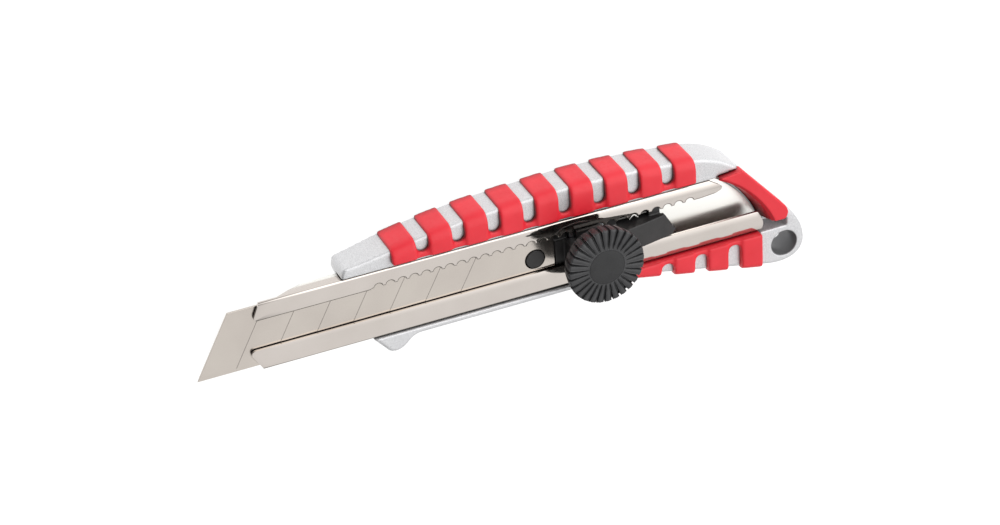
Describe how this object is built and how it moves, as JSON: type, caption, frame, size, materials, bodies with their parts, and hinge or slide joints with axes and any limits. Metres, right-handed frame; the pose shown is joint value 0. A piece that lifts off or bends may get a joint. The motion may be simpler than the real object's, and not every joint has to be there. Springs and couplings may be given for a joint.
{
  "type": "snap-off utility knife",
  "caption": "Snap-off blade utility knife with a cast handle, soft banded grips, a folded steel blade channel and a screw-down locking knob.",
  "frame": {"origin": "middle of the footprint, on the surface that the knife lies on", "axes": "+X from the blade's tip to the tail, +Y from the cutting edge to the spine, +Z from the handle's back to the knob"},
  "size_m": [0.1738, 0.0424, 0.0221],
  "materials": {
    "silver_paint": "silver metallic paint over a zinc casting, fine sparkle",
    "red_rubber": "satin moulded soft grip",
    "polished_steel": "polished folded steel sheet",
    "blade_steel": "satin ground carbon steel",
    "black_plastic": "fine moulded texture",
    "knob_plastic": "satin moulded plastic",
    "spring_steel": "bright rolled spring strip",
    "zinc_steel": "zinc-plated steel",
    "insert_brass": "turned brass"
  },
  "bodies": {
    "handle": {"handle_body": "silver_paint", "upper_grip": "red_rubber", "lower_grip": "red_rubber", "tail_grip": "red_rubber", "blade_channel": "polished_steel", "channel_rivet_front": "zinc_steel", "channel_rivet_rear": "zinc_steel"},
    "slider": {"slider": "black_plastic", "blade": "blade_steel", "clamp_plate": "zinc_steel", "lock_bolt": "zinc_steel"},
    "detent": {"detent_spring": "spring_steel"},
    "washer": {"lock_washer": "zinc_steel"},
    "knob": {"knob": "knob_plastic", "knob_insert": "insert_brass", "knob_cap": "knob_plastic"}
  },
  "joints": [
    {"name": "blade_slide", "type": "slide", "parent": "handle", "child": "slider", "axis": [1, 0, 0], "range_m": [-0.0627, 0.0165]},
    {"name": "detent_press", "type": "slide", "parent": "slider", "child": "detent", "axis": [0, -1, 0], "range_m": [0, 0.0008], "stiffness_N_per_m": 800},
    {"name": "knob_rise", "type": "slide", "parent": "slider", "child": "washer", "axis": [0, 0, 1], "range_m": [0, 0.0012]},
    {"name": "knob_turn", "type": "hinge", "parent": "washer", "child": "knob", "pos_m": [0.02275, 0.00048, 0.0139], "axis": [0, 0, 1], "range_deg": [0, 540]}
  ],
  "couplings": [
    {"joint": "knob_turn", "follows": "knob_rise", "rad_per_m": 7850}
  ]
}
